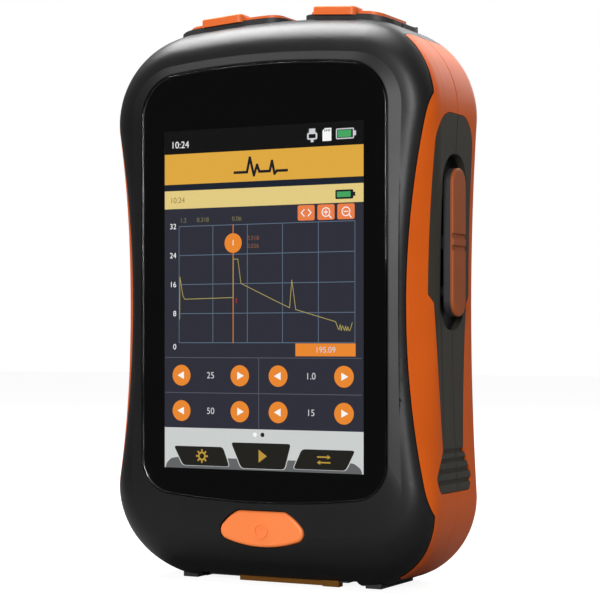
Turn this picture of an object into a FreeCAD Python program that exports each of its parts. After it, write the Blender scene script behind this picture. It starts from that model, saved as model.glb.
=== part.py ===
import FreeCAD, Part
import math
import os
import re
import Sketcher

# Handheld optical time domain reflectometer, in millimetres. It stands upright: +Z up, screen
# towards -Y, origin under the middle of the case at the level of its feet. The two case halves,
# their soft side skins, the cavity and the top covers come from one family of sections, taken at
# depths behind the front glass.
Vector = FreeCAD.Vector
doc = FreeCAD.newDocument("reflectometer")

# ---------------------------------------------------------------- driving sizes
sizes = {
    # case outline seen from the front, at the seam between the halves
    "case_top": 158.2, "case_floor": 0.2, "waist_half": 48.6, "shoulder_swell": 1.7,
    "top_corner": 26.0, "bottom_corner": 24.0, "top_arch": 260.0, "floor_arch": 3000.0,
    # case depth, from the front of the glass to the back
    "case_depth": 42.0, "seam_depth": 21.0, "back_round": 9.0, "seam_groove": 0.4, "seam_deep": 0.45,
    # edge and facet that frame the glass
    "rim_gap": 0.35, "facet_depth": 0.9, "facet_side": 2.4, "facet_corner": 3.4, "facet_top": 2.3,
    "facet_bottom": 9.0, "facet_top_corner": 15.0, "facet_bottom_corner": 13.0,
    # how far back each edge of the case takes to reach its full size
    "side_run": 10.0, "shoulder_run": 9.0, "top_run": 14.0, "floor_run": 14.0,
    # walls
    "skin": 2.0, "wall": 1.8, "front_wall": 2.4, "back_wall": 2.4, "part_gap": 0.2,
    # soft side skins
    "bumper_waist": 42.9, "bumper_radius": 250.0, "bumper_middle": 78.0, "bumper_border": 0.7,
    "bumper_top_end": 40.0, "bumper_low_end": 37.0,
    # grip on each side: a wide pad, a tapering stem and a ridged foot
    "grip_top": 130.0, "grip_half": 12.35, "grip_round": 8.5, "grip_lean": 0.95,
    "grip_step": 80.6, "grip_neck": 78.4, "grip_neck_half": 10.65, "grip_small_round": 0.8,
    "grip_stem_half": 6.9, "grip_stem_end": 38.5, "foot_lean": 1.5, "grip_foot_half": 11.6,
    "grip_foot": 31.0, "grip_toe_half": 10.2, "grip_base": 27.0, "grip_foot_round": 2.0,
    "ridge_groove": 1.2, "ridge_deep": 0.5, "ridge_top": 38.1, "ridge_middle": 35.6,
    "ridge_low": 32.8, "ridge_end": 29.8,
    # glass and display
    "glass_half": 38.4, "glass_top": 144.8, "glass_bottom": 23.3, "glass_corner": 12.0,
    "glass_bottom_corner": 10.0, "glass_thick": 1.1, "glass_gap": 0.25, "glass_edge": 0.3,
    "mask_thick": 0.2, "view_half": 31.35, "view_bottom": 32.2, "view_height": 95.3,
    "panel_margin": 3.0, "panel_thick": 2.2, "tray_thick": 0.8, "bracket_thick": 1.5,
    "bracket_ear": 5.0, "bracket_rim": 6.0, "fit_gap": 0.3,
    # power button
    "power_half": 14.2, "power_flat": 7.3, "power_top": 21.0, "power_bottom": 11.0,
    "power_tip": 14.0, "power_bulge": 0.9, "power_corner": 2.6, "power_face": 0.35,
    "power_flange": 0.9, "power_flange_thick": 0.9, "power_ring": 2.15, "power_ring_wide": 0.5,
    "power_ring_high": 0.35, "power_ring_drop": 0.4, "power_stem_radius": 2.0,
    "power_travel": 0.6, "power_gap": 0.8, "power_edge": 0.8, "power_switch_high": 5.6,
    # side rocker
    "rocker_middle": 95.1, "rocker_half": 20.3, "rocker_wide": 4.5, "rocker_proud": 2.3,
    "rocker_thick": 3.0, "rocker_face_thick": 1.0, "rocker_corner": 4.4, "rocker_edge": 0.6,
    "groove_step": 1.6, "groove_wide": 1.4, "groove_deep": 0.5, "recess_half": 24.2, "recess_wide": 8.2,
    "recess_deep": 2.2, "recess_round": 7.7, "pivot_deep": 5.5, "pivot_radius": 0.8,
    "pivot_clear": 0.05, "pivot_boss": 1.9, "rocker_nub": 13.5, "nub_radius": 1.6, "nub_deep": 4.6,
    "slot_half": 16.6, "slot_wide": 3.4, "slot_round": 2.9, "carrier_deep": 7.8,
    "carrier_thick": 1.0, "carrier_half": 23.0, "carrier_wide": 7.5, "switch_side": 6.0,
    "switch_high": 2.5,
    # top port covers
    "left_cover_middle": -16.4, "left_cover_half": 17.0, "left_tab_middle": -18.0,
    "right_cover_middle": 20.3, "right_cover_half": 13.4, "right_tab_middle": 17.5,
    "cover_front": 10.7, "cover_back": 36.4, "cover_thick": 1.6, "cover_sink": 0.4,
    "cover_corner": 5.0, "end_notch": 0.6, "inlay_thick": 1.0,
    "inlay_border": 1.6, "inlay_end": 2.8, "plug_thick": 1.2, "plug_gap": 0.8, "seat_gap": 0.15,
    "tab_half": 6.7, "tab_deep": 6.2, "tab_high": 2.4, "tab_front": 9.7, "tab_rise": 2.0,
    "tab_corner": 1.6, "tab_edge": 0.5, "hinge_pin": 0.4, "hinge_clear": 0.05,
    "hinge_half": 9.0, "hinge_notch": 2.4, "lug_wide": 2.0, "lug_gap": 0.25,
    # ports under the covers
    "deck_border": 1.2, "deck_front": 12.9, "deck_floor": 2.4, "deck_flange": 0.8,
    "deck_flange_top": 5.8, "deck_flange_thick": 1.2, "well_border": 2.0, "well_front": 14.2,
    "well_back": 33.5, "port_step": 6.4, "port_radius": 4.0, "port_depth": 22.4,
    "port_below": 1.9, "port_high": 6.4, "port_flange": 5.6, "port_flange_thick": 1.2,
    "port_bore": 1.25, "port_inside": 2.75, "sleeve_wall": 0.5, "sleeve_long": 9.0,
    "sleeve_below": 0.8, "port_tail": 4.2, "tail_radius": 3.0, "port_key": 2.1,
    "port_key_deep": 3.0,
    # optical module and fibre spool
    "module_half": 27.5, "module_high": 25.0, "module_deep": 13.0, "module_top": 143.4,
    "module_front": 20.0, "module_round": 1.5, "rib_place": 0.7, "rib_thick": 2.0,
    "spool_radius": 19.0, "spool_thick": 8.0, "spool_hub": 8.0, "spool_plate": 1.0,
    "spool_height": 92.0, "spool_gap": 1.6, "spool_post": 4.0, "coil_margin": 1.2,
    # boards
    "board_half": 28.0, "board_bottom": 8.0, "board_height": 131.0, "board_thick": 1.6,
    "board_depth": 13.4, "board_corner": 2.0, "chip_side": 14.0, "chip_thick": 1.4,
    "chip_row": 78.0, "shield_wide": 30.0, "shield_high": 24.0, "shield_thick": 2.4,
    "shield_row": 108.0, "shield_edge": 0.4, "buzzer_radius": 6.0, "buzzer_thick": 4.0,
    # battery
    "battery_half": 29.0, "battery_bottom": 14.0, "battery_height": 48.0,
    "battery_thick": 17.0, "battery_gap": 0.6, "battery_round": 3.0, "battery_edge": 1.0,
    "clamp_wide": 8.0, "clamp_thick": 1.0, "plug_wide": 9.0, "plug_high": 5.0,
    # bottom recess, its cover and the sockets behind it
    "bay_half": 25.0, "bay_front": 9.6, "bay_back": 33.0, "bay_high": 5.0, "lid_half": 22.0,
    "lid_front": 10.4, "lid_back": 27.4, "lid_thick": 2.0, "lid_low": 1.3, "lid_pin": 0.4,
    "lid_strip_from": -12.2, "lid_strip_to": 14.4, "lid_strip_deep": 2.0, "lid_strip_low": 0.2,
    "lid_tab_to": 19.4, "lid_tab_out": 0.6, "lid_tab_drop": 0.15, "socket_half": 4.6, "socket_thick": 3.3,
    "socket_deep": 7.4, "socket_wall": 0.4, "socket_shift": -9.0, "card_half": 7.0,
    "card_thick": 1.6, "card_shift": 12.0, "card_deep": 14.0,
    # feet, screws, seal and lamp
    "foot_in": 26.8, "foot_out": 31.5, "foot_front": 11.5, "foot_back": 33.0, "foot_high": 3.0,
    "boss_radius": 3.2, "screw_radius": 1.25, "screw_head": 2.4, "screw_head_high": 1.6,
    "screw_long": 30.0, "screw_recess": 2.0, "boss_side": 32.5, "boss_low": 22.0,
    "boss_high": 137.0, "small_screw": 1.0, "small_head": 1.9, "small_head_high": 1.1,
    "small_long": 4.0, "post_radius": 2.4, "post_side": 24.0, "post_low": 20.0,
    "post_high": 135.5, "ear_side": 37.0, "ear_low": 40.0, "ear_high": 120.0,
    "gasket_wide": 1.0, "gasket_thick": 0.8, "lamp_middle": 3.75, "lamp_depth": 25.5,
    "lamp_radius": 1.9, "lamp_long": 6.0, "lamp_proud": 0.2,
    # what follows from the sizes above
    "shoulder_half": "=waist_half + shoulder_swell",
    "back_inner": "=case_depth - back_wall",
    "spool_front": "=case_depth - back_wall - spool_gap - spool_thick",
    "battery_depth": "=case_depth - back_wall - battery_gap - battery_thick",
    "rocker_out": "=waist_half + rocker_proud", "recess_floor": "=waist_half - recess_deep",
    "pivot_out": "=waist_half - pivot_deep", "nub_out": "=waist_half - nub_deep",
    "carrier_out": "=waist_half - carrier_deep",
}

sheet = doc.addObject("Spreadsheet::Sheet", "Sizes")
for row, (name, value) in enumerate(sizes.items(), start=1):
    sheet.set(f"A{row}", name)
    sheet.set(f"B{row}", str(value))
    sheet.setAlias(f"B{row}", name)
doc.recompute()


def size(name):
    return float(getattr(sheet, name))


def expression(text):
    """Put the sheet's name before each size named in a formula."""
    def in_sheet(word):
        return "Sizes." + word.group() if word.group() in sizes else word.group()

    return re.sub(r"[a-z_]+", in_sheet, text)


def bind(item, **formulas):
    for name, text in formulas.items():
        item.setExpression(name.replace("__", "."), expression(str(text)))
    return item


def place(item, at):
    x, y, z = at
    return bind(item, Placement__Base__x=x, Placement__Base__y=y, Placement__Base__z=z)


def depth(text):
    """Formula for the Y of a plane so far behind the front of the glass."""
    return f"({text}) - case_depth / 2"


# ---------------------------------------------------------------- primitives and booleans
def box(name, at, length, width, height):
    return place(bind(doc.addObject("Part::Box", name), Length=length, Width=width, Height=height), at)


turns = {"x": (Vector(0, 1, 0), 90), "y": (Vector(1, 0, 0), -90), "z": (Vector(0, 0, 1), 0)}


def cylinder(name, at, radius, height, axis="z"):
    item = bind(doc.addObject("Part::Cylinder", name), Radius=radius, Height=height)
    item.Placement.Rotation = FreeCAD.Rotation(*turns[axis])
    return place(item, at)


def fuse(name, items):
    item = doc.addObject("Part::MultiFuse", name)
    item.Shapes = list(items)
    return item


def cut(name, base, tools):
    item = doc.addObject("Part::Cut", name)
    item.Base = base
    item.Tool = tools[0] if len(tools) == 1 else fuse(name + "_tools", tools)
    return item


def common(name, base, tool):
    item = doc.addObject("Part::Common", name)
    item.Base, item.Tool = base, tool
    return item


def group(name, items):
    """Separate like pieces under one name."""
    item = doc.addObject("Part::Compound", name)
    item.Links = list(items)
    return item


def shape(name, solid):
    item = doc.addObject("Part::Feature", name)
    item.Shape = solid
    return item


def plate(name, plane, wide, high, thick, at, corner=None, edge=None):
    """A padded rectangle: a body with a sketch centred on a plane, a pad and its fillets.

    It grows towards +X from the YZ plane, +Y from the XZ plane and +Z from the XY plane.
    """
    body = doc.addObject("PartDesign::Body", name)
    sketch = body.newObject("Sketcher::SketchObject", name + "_outline")
    sketch.AttachmentSupport = [(next(f for f in body.Origin.OriginFeatures if f.Role == plane), "")]
    sketch.MapMode = "FlatFace"
    corners = [Vector(x, y, 0) for x, y in ((-1, -1), (1, -1), (1, 1), (-1, 1))]
    sketch.addGeometry([Part.LineSegment(corners[i], corners[(i + 1) % 4]) for i in range(4)])
    for i in range(4):
        sketch.addConstraint(Sketcher.Constraint("Coincident", i, 2, (i + 1) % 4, 1))
        sketch.addConstraint(Sketcher.Constraint("Vertical" if i % 2 else "Horizontal", i))
    sketch.addConstraint(Sketcher.Constraint("Symmetric", 0, 1, 2, 1, -1, 1))
    for side, line in (("wide", 0), ("high", 1)):
        kind = "DistanceX" if side == "wide" else "DistanceY"
        index = sketch.addConstraint(Sketcher.Constraint(kind, line, 1, line, 2, 2.0))
        sketch.renameConstraint(index, side)
    bind(sketch, Constraints__wide=wide, Constraints__high=high)
    pad = body.newObject("PartDesign::Pad", name + "_pad")
    pad.Profile = sketch
    pad.Reversed = plane == "XZ_Plane"
    bind(pad, Length=thick)
    doc.recompute()
    normal = sketch.Placement.Rotation.multVec(Vector(0, 0, -1 if pad.Reversed else 1))
    base = pad
    for radius, wanted in ((corner, True), (edge, False)):
        if radius is None:
            continue
        names = []
        for number, line in enumerate(base.Shape.Edges, start=1):
            run = line.lastVertex().Point - line.firstVertex().Point
            along = abs(run.normalize().dot(normal)) > 0.9
            outer = normal.dot(line.CenterOfMass) > normal.dot(base.Shape.BoundBox.Center)
            if along if wanted else (outer and not along):
                names.append(f"Edge{number}")
        fillet = body.newObject("PartDesign::Fillet", name + ("_corners" if wanted else "_edges"))
        fillet.Base = (base, names)
        bind(fillet, Radius=radius)
        body.Tip = fillet
        doc.recompute()
        base = fillet
    return place(body, at)


# ---------------------------------------------------------------- sections of the case
def depth_plane(level):
    return level - size("case_depth") / 2


def outline(level, waist, shoulder, top, bottom, top_round, bottom_round, arch, floor_arch):
    """Closed outline at one depth: an arched top and floor, round corners and hollow sides.

    Every arc is tangent to the next. The two side arcs bulge inwards from shoulder to waist.
    """
    y = depth_plane(level)
    upper = Vector(shoulder - top_round, y, 0)
    upper.z = top - arch + math.sqrt((arch - top_round) ** 2 - upper.x ** 2)
    lower = Vector(shoulder - bottom_round, y, 0)
    lower.z = bottom + floor_arch - math.sqrt((floor_arch - bottom_round) ** 2 - lower.x ** 2)
    arch_centre, floor_centre = Vector(0, y, top - arch), Vector(0, y, bottom + floor_arch)
    arch_end = upper + (upper - arch_centre).normalize() * top_round
    floor_end = lower + (lower - floor_centre).normalize() * bottom_round
    hollow = shoulder - waist
    if hollow > 1e-6:
        reach_up, reach_down = top_round + waist - upper.x, bottom_round + waist - lower.x
        drop = hollow * (reach_up - reach_down)
        middle = (upper.z ** 2 - lower.z ** 2 - drop) / 2 / (upper.z - lower.z)
        radius = ((middle - upper.z) ** 2 - hollow * reach_up) / 2 / hollow
        side_centre = Vector(waist + radius, y, middle)
        side_top = upper + (side_centre - upper).normalize() * top_round
        side_bottom = lower + (side_centre - lower).normalize() * bottom_round
        side = Part.Arc(side_top, Vector(waist, y, middle), side_bottom)
    else:
        side_top, side_bottom = Vector(shoulder, y, upper.z), Vector(shoulder, y, lower.z)
        side = Part.LineSegment(side_top, side_bottom)

    def through(centre, start, end, radius):
        """Arc about a centre from start to end, the short way."""
        half_way = ((start - centre).normalize() + (end - centre).normalize()).normalize()
        return Part.Arc(start, centre + half_way * radius, end)

    crown, sole = Vector(0, y, top), Vector(0, y, bottom)
    right = [through(arch_centre, crown, arch_end, arch), through(upper, arch_end, side_top, top_round),
             side, through(lower, side_bottom, floor_end, bottom_round),
             through(floor_centre, floor_end, sole, floor_arch)]
    edges = [curve.toShape() for curve in right]
    mirrored = [edge.mirror(Vector(0, 0, 0), Vector(1, 0, 0)) for edge in edges]
    return Part.Wire(edges + mirrored[::-1])


def share_left(level, run, power):
    """How much of the step from facet to full size is left at a depth, on a superellipse."""
    start = size("facet_depth")
    left = min(1.0, max(0.0, (run - level) / (run - start)))
    return 1 - (1 - left ** power) ** (1 / power)


def rim():
    """The case's edge round the glass: half width, top, bottom and corner radii."""
    gap = size("glass_gap") + size("rim_gap")
    return (size("glass_half") + gap, size("glass_top") + gap, size("glass_bottom") - gap,
            size("glass_corner") + gap, size("glass_bottom_corner") + gap)


def rim_section():
    half, top, bottom, corner, low_corner = rim()
    return outline(0, half, half, top, bottom, corner, low_corner, size("top_arch"), size("top_arch"))


def case_section(level, inset=0.0):
    half, top, bottom, corner, low_corner = rim()
    side = share_left(level, size("side_run"), 1.15)
    shoulder = share_left(level, size("shoulder_run"), 2.0)
    crown = share_left(level, size("top_run"), 2.0)
    floor = share_left(level, size("floor_run"), 1.6)
    behind = level - (size("case_depth") - size("back_round"))
    if behind > 0:
        inset += size("back_round") - math.sqrt(max(0.0, size("back_round") ** 2 - behind ** 2))

    def between(full, facet, share):
        return full + (facet - full) * share

    bend = between(1 / size("floor_arch"), 1 / size("top_arch"), floor)
    return outline(
        level,
        between(size("waist_half"), half + size("facet_side"), side) - inset,
        between(size("shoulder_half"), half + size("facet_corner"), shoulder) - inset,
        between(size("case_top"), top + size("facet_top"), crown) - inset,
        between(size("case_floor"), bottom - size("facet_bottom"), floor) + inset,
        between(size("top_corner"), size("facet_top_corner"), crown) - inset,
        between(size("bottom_corner"), size("facet_bottom_corner"), floor) - inset,
        size("top_arch") - inset, 1 / bend - inset)


def case_solid(inset, front, back):
    """The case's outer form, or a copy sunk by inset, between two depths."""
    start = max(front, size("facet_depth"))
    full = max(size(edge + "_run") for edge in ("side", "shoulder", "top", "floor"))
    straight_end = size("case_depth") - size("back_round")
    front_levels = [start + (full - start) * (i / 9) ** 1.3 for i in range(10)]
    last = math.asin(min(1.0, (back - straight_end) / size("back_round")))
    back_levels = [straight_end + size("back_round") * math.sin(last * i / 6) for i in range(7)]
    pieces = [Part.makeLoft([case_section(level, inset) for level in front_levels], True),
              Part.makeLoft([case_section(level, inset) for level in (full, straight_end)], True, True),
              Part.makeLoft([case_section(level, inset) for level in back_levels], True)]
    if front == 0:
        pieces.append(Part.makeLoft([rim_section(), case_section(start, inset)], True, True))
    return pieces[0].fuse(pieces[1:])


def prism(wire, front, back):
    """Solid between two depths, from an outline drawn at the depth where it starts."""
    return Part.Face(wire).extrude(Vector(0, back - front, 0))


def slab(front, back, half, low, high):
    """Box in world axes between two depths, centred from side to side."""
    return Part.makeBox(2 * half, back - front, high - low, Vector(-half, depth_plane(front), low))


# ---------------------------------------------------------------- case halves and side skins
over = 10.0  # how far a cutter reaches past what it cuts
spare = 1.0  # the same where little room is left


def core_border(gap):
    """Prism of all that stays hard and black seen from the front: the rest is soft side skin."""
    border = size("bumper_border") - gap
    front, back, waist = -2 * spare, size("case_depth") + 2 * spare, size("bumper_middle")
    wire = outline(-spare, size("waist_half") - border, size("shoulder_half") - border,
                   size("case_top") - border, size("case_floor") + border, size("top_corner") - border,
                   size("bottom_corner") - border, size("top_arch"), size("floor_arch"))
    core = prism(wire, -spare, size("case_depth") + spare)
    radius = size("bumper_radius") - gap
    for side in (-1, 1):
        middle = side * (size("bumper_waist") + size("bumper_radius"))
        centre = Vector(middle, depth_plane(front), waist)
        core = core.cut(Part.makeCylinder(radius, back - front, centre, Vector(0, 1, 0)))
    return core.fuse([slab(front, back, size("bumper_low_end") + gap, -over, waist),
                      slab(front, back, size("bumper_top_end") + gap, waist, size("case_top") + over)])


def rounded(points, radii):
    """Closed wire through corner points, each corner an arc of its own radius."""
    edges, ends = [], []
    count = len(points)
    for i, (point, radius) in enumerate(zip(points, radii)):
        before, after = points[i - 1] - point, points[(i + 1) % count] - point
        before.normalize(), after.normalize()
        half_angle = before.getAngle(after) / 2
        reach = radius / math.tan(half_angle)
        middle = (before + after).normalize() * (radius / math.sin(half_angle) - radius)
        ends.append((point + before * reach, point + middle, point + after * reach))
    for i, (start, middle, end) in enumerate(ends):
        edges.append(Part.Arc(start, middle, end).toShape())
        edges.append(Part.makeLine(end, ends[(i + 1) % count][0]))
    return Part.Wire(edges)


def grip_prism(gap=0.0):
    """Side view of the grip pushed through the case: a wide pad, a tapering stem and a foot."""
    half = [("grip_half", "grip_top", "grip_round", "grip_lean"),
            ("grip_half", "grip_step", "grip_small_round", "grip_lean"),
            ("grip_neck_half", "grip_neck", "grip_small_round", "grip_lean"),
            ("grip_stem_half", "grip_stem_end", "grip_small_round", "foot_lean"),
            ("grip_foot_half", "grip_foot", "grip_foot_round", "foot_lean"),
            ("grip_toe_half", "grip_base", "grip_foot_round", "foot_lean")]
    x, middle = size("waist_half") - size("skin") - over, depth_plane(size("seam_depth"))
    rows = [(1, row) for row in half] + [(-1, row) for row in half[::-1]]
    points = [Vector(x, middle + side * size(wide) - size(lean), size(height))
              for side, (wide, height, _, lean) in rows]
    wire = rounded(points, [size(row[2]) for _, row in rows])
    if gap:
        wire = wire.makeOffset2D(gap)
    return Part.Face(wire).extrude(Vector(size("skin") + 2 * over, 0, 0))


def ring(level_from, level_to, outside, inside):
    """Band that follows the seam, between two insets."""
    start = size("seam_depth")
    shift = Vector(0, level_from - start, 0)
    band = [prism(case_section(start, inset), level_from, level_to) for inset in (outside, inside)]
    band = band[0].cut(band[1])
    band.translate(shift)
    return band


def keep_solids(shape_in, test):
    return Part.makeCompound([solid for solid in shape_in.Solids if test(solid.CenterOfMass)])


outer = case_solid(0, 0, size("case_depth"))
sunk = case_solid(size("skin"), size("facet_depth"), size("case_depth") - size("skin") / 2)
front_inside = size("glass_thick") + size("mask_thick") + size("front_wall")
cavity = case_solid(size("skin") + size("wall"), front_inside, size("case_depth") - size("back_wall"))
seam = size("seam_depth")
tall = size("case_top") + over
halves = {"front": slab(-over, seam, tall, -over, tall),
          "back": slab(seam, size("case_depth") + over, tall, -over, tall)}
groove = ring(seam - size("seam_groove") / 2, seam + size("seam_groove") / 2, -spare, size("seam_deep"))
seal_out = size("skin") + (size("wall") - size("gasket_wide")) / 2
seal_room = ring(seam - size("gasket_thick") / 2, seam + size("gasket_thick") / 2, seal_out,
                 seal_out + size("gasket_wide"))

# the hard case, less the room for its side skins
skin_room = outer.cut(sunk).cut(core_border(0))
case = outer.cut([skin_room, cavity, groove, seal_room])
blanks = {half: shape(half + "_blank", case.common(cutter)) for half, cutter in halves.items()}

# recess and slot for the rocker, on the right side only
recess_middle = Vector(0, depth_plane(seam), size("rocker_middle"))


def side_prism(half_wide, half_long, radius, start, end):
    """Rounded bar across the case's right side, centred on the rocker."""
    corners = [(1, 1), (1, -1), (-1, -1), (-1, 1)]
    points = [recess_middle + Vector(start, y * half_wide, z * half_long) for y, z in corners]
    return Part.Face(rounded(points, [radius] * 4)).extrude(Vector(end - start, 0, 0))


far = size("shoulder_half") + over
recess = side_prism(size("recess_wide"), size("recess_half"), size("recess_round"), size("recess_floor"), far)
slot = side_prism(size("slot_wide"), size("slot_half"), size("slot_round"), size("carrier_out"), far)

# grooves across the grip's foot leave its ridges standing
groove_skin = ring(0, size("case_depth"), -over, size("ridge_deep"))
ridge_grooves = [groove_skin.common(slab(0, size("case_depth"), tall, size(row) - size("ridge_groove") / 2,
                                         size(row) + size("ridge_groove") / 2))
                 for row in ("ridge_top", "ridge_middle", "ridge_low", "ridge_end")]

# bumpers and grips: each side skin is split at the seam, and by the grip's outline
skins = outer.cut(sunk).cut(core_border(size("part_gap"))).cut(groove)
grip, grip_room = grip_prism(), grip_prism(size("part_gap"))
for side, sign in (("right", 1), ("left", -1)):
    side_skin = keep_solids(skins, lambda centre: centre.x * sign > 0)
    pad, room = (grip, grip_room) if sign > 0 else (
        solid.mirror(Vector(0, 0, 0), Vector(1, 0, 0)) for solid in (grip, grip_room))
    for half, cutter in halves.items():
        piece = side_skin.common(cutter)
        shape(f"bumper_{side}_{half}", piece.cut(room))
        grip_piece = piece.common(pad).cut(ridge_grooves)
        shape(f"grip_{side}_{half}", grip_piece.cut(recess) if sign > 0 else grip_piece)

# seal between the halves, interrupted where the port decks and the bottom bay cross the seam
seal = shape("seal_blank", seal_room)


# ---------------------------------------------------------------- glass and display
def glass_section(grow, level):
    half = size("glass_half") + grow
    return outline(level, half, half, size("glass_top") + grow, size("glass_bottom") - grow,
                   size("glass_corner") + grow, size("glass_bottom_corner") + grow,
                   size("top_arch"), size("top_arch"))


mask_level = size("glass_thick")
floor_level = mask_level + size("mask_thick")
lens = prism(glass_section(0, 0), 0, mask_level)
shape("front_glass", lens.makeFillet(size("glass_edge"), lens.Faces[-2].Edges))
glass_room = shape("glass_room", prism(glass_section(size("glass_gap"), -spare), -spare, floor_level))
mask_blank = shape("mask_blank", prism(glass_section(-size("fit_gap"), mask_level), mask_level, floor_level))
view = ("-view_half", depth("0"), "view_bottom")
cut("display_mask", mask_blank, [box("view_hole", view, "2 * view_half", "front_wall * 2", "view_height")])

panel_wide, panel_high = "2 * (view_half + panel_margin)", "view_height + 2 * panel_margin"
panel_low = "view_bottom - panel_margin"
panel_middle = "view_bottom + view_height / 2"
panel_front = "glass_thick + mask_thick"
tray_front = panel_front + " + panel_thick"
bracket_front = tray_front + " + tray_thick"
plate("lcd_panel", "XZ_Plane", panel_wide, panel_high, "panel_thick", (0, depth(panel_front), panel_middle))
plate("lcd_tray", "XZ_Plane", panel_wide, panel_high, "tray_thick", (0, depth(tray_front), panel_middle))
window = box("window", ("-(view_half + panel_margin + fit_gap)", depth("0"), panel_low + " - fit_gap"),
             panel_wide + " + 2 * fit_gap", "front_wall * 4", panel_high + " + 2 * fit_gap")
ears = [(side, height) for side in (-1, 1) for height in ("ear_low", "ear_high")]
ear_bars = [box(f"ear_bar_{i}", ("-ear_side - bracket_ear / 2", depth(bracket_front), f"{height} - bracket_ear"),
                "2 * ear_side + bracket_ear", "bracket_thick", "2 * bracket_ear")
            for i, height in enumerate(("ear_low", "ear_high"))]
bracket_plate = box("bracket_plate", ("-(view_half + panel_margin)", depth(bracket_front), panel_low),
                    panel_wide, "bracket_thick", panel_high)
light_corner = ("-view_half + bracket_rim", depth(bracket_front), "view_bottom + bracket_rim")
bracket_light = box("bracket_opening", light_corner, "2 * (view_half - bracket_rim)", "bracket_thick",
                    "view_height - 2 * bracket_rim")
ear_holes = [cylinder(f"ear_hole_{i}", (f"{side} * ear_side", depth(bracket_front), height), "small_screw",
                      "bracket_thick", "y") for i, (side, height) in enumerate(ears)]
cut("display_bracket", fuse("bracket_blank", ear_bars + [bracket_plate]), ear_holes + [bracket_light])
ear_pads = [cylinder(f"ear_pad_{i}", (f"{side} * ear_side", depth("front_wall"), height), "post_radius",
                     bracket_front + " - front_wall", "y") for i, (side, height) in enumerate(ears)]


def screw(name, x, z, seat, radius, length, head, head_high):
    """Screw driven from the back: its head stands behind the seat's depth, its shank runs forward."""
    shank = cylinder(name + "_shank", (x, depth(f"{seat} - ({length})"), z), radius, length, "y")
    cap = cylinder(name + "_head", (x, depth(seat), z), head, head_high, "y")
    socket = cylinder(name + "_socket", (x, depth(f"{seat} + {head_high} / 2"), z), f"{head} / 2",
                      head_high, "y")
    return cut(name, fuse(name + "_blank", [shank, cap]), [socket])


def screw_hole(name, x, z, seat, radius, length):
    """Hole that a screw's shank fills."""
    return cylinder(name, (x, depth(f"{seat} - ({length})"), z), radius, length, "y")


small = ("small_screw", "small_long")
bracket_back = bracket_front + " + bracket_thick"
group("bracket_screws", [screw(f"bracket_screw_{i}", f"{side} * ear_side", height, bracket_back, *small,
                               "small_head", "small_head_high") for i, (side, height) in enumerate(ears)])
ear_bores = [screw_hole(f"ear_bore_{i}", f"{side} * ear_side", height, bracket_back, *small)
             for i, (side, height) in enumerate(ears)]


# ---------------------------------------------------------------- power button
def power_outline(grow, level):
    """Flat-topped lens: a short top edge, two shoulders, and one long arc underneath."""
    y = depth_plane(level)
    top, tip, half = size("power_top"), size("power_tip"), size("power_half")
    flat, low = size("power_flat"), size("power_bottom")
    left, right = Vector(-flat, y, top), Vector(flat, y, top)
    bulge = (right + Vector(half, y, tip)) / 2
    bulge += Vector(top - tip, 0, half - flat).normalize() * size("power_bulge")
    edges = [Part.makeLine(left, right), Part.Arc(right, bulge, Vector(half, y, tip)).toShape(),
             Part.Arc(Vector(half, y, tip), Vector(0, y, low), Vector(-half, y, tip)).toShape(),
             Part.Arc(Vector(-half, y, tip), Vector(-bulge.x, y, bulge.z), left).toShape()]
    corner = size("power_corner")
    return Part.Wire(edges).makeOffset2D(-corner).makeOffset2D(corner + grow)


face_level, flange_level = size("power_face"), front_inside + size("power_travel") / 2
flange_end = flange_level + size("power_flange_thick")
cap = prism(power_outline(0, face_level), face_level, flange_end)
front_edges = [edge for edge in cap.Edges if abs(edge.CenterOfMass.y - depth_plane(face_level)) < 1e-6]
cap = cap.makeFillet(size("power_edge"), front_edges)
flange = prism(power_outline(size("power_flange"), flange_level), flange_level, flange_end)
cap_blank = shape("power_cap", cap.fuse(flange))
power_middle = "(power_top + power_bottom) / 2 - power_ring_drop"
ring_front = "power_face - power_ring_high"
flange_back = "glass_thick + mask_thick + front_wall + power_travel / 2 + power_flange_thick"
mark_place = (0, depth(ring_front), power_middle)
mark = cut("power_mark", cylinder("mark_disc", mark_place, "power_ring", "power_ring_high * 2", "y"),
           [cylinder("mark_hole", mark_place, "power_ring - power_ring_wide", "power_ring_high", "y")])
switch_front = "board_depth - power_switch_high"
stem = cylinder("power_stem", (0, depth(flange_back), power_middle), "power_stem_radius",
                f"{switch_front} - power_gap - ({flange_back})", "y")
fuse("power_button", [cap_blank, mark, stem])
switch_corner = ("-switch_side / 2", depth("board_depth - switch_high"), f"{power_middle} - switch_side / 2")
power_body = box("power_switch_body", switch_corner, "switch_side", "switch_high", "switch_side")
power_plunger = cylinder("power_plunger", (0, depth(switch_front), power_middle), "power_stem_radius",
                         "power_switch_high - switch_high", "y")
fuse("power_switch", [power_body, power_plunger])
room_level = front_inside - size("part_gap")
cap_room = prism(power_outline(size("fit_gap"), -spare), -spare, front_inside + over / 2)
flange_room = prism(power_outline(size("power_flange") + 2 * size("fit_gap"), room_level), room_level,
                    front_inside + over / 2)
power_room = shape("power_room", cap_room.fuse(flange_room))


# ---------------------------------------------------------------- port decks, ports and covers
def on_top(item, word):
    """Carry a piece drawn level at the origin to its cover's place on the arched top."""
    middle = f"{word}_cover_middle"
    item.Placement.Rotation = FreeCAD.Rotation(Vector(0, 1, 0), 1)
    item.setExpression("Placement.Rotation.Angle", f"asin(Sizes.{middle} / Sizes.top_arch)")
    return place(item, (middle, 0, f"case_top - top_arch + sqrt(top_arch ^ 2 - {middle} ^ 2)"))


def above_top(name, front, back, low, high):
    """Band that follows the case's top and corners, between two heights above it."""
    return shape(name, ring(size(front), size(back), -high, -low))


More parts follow.
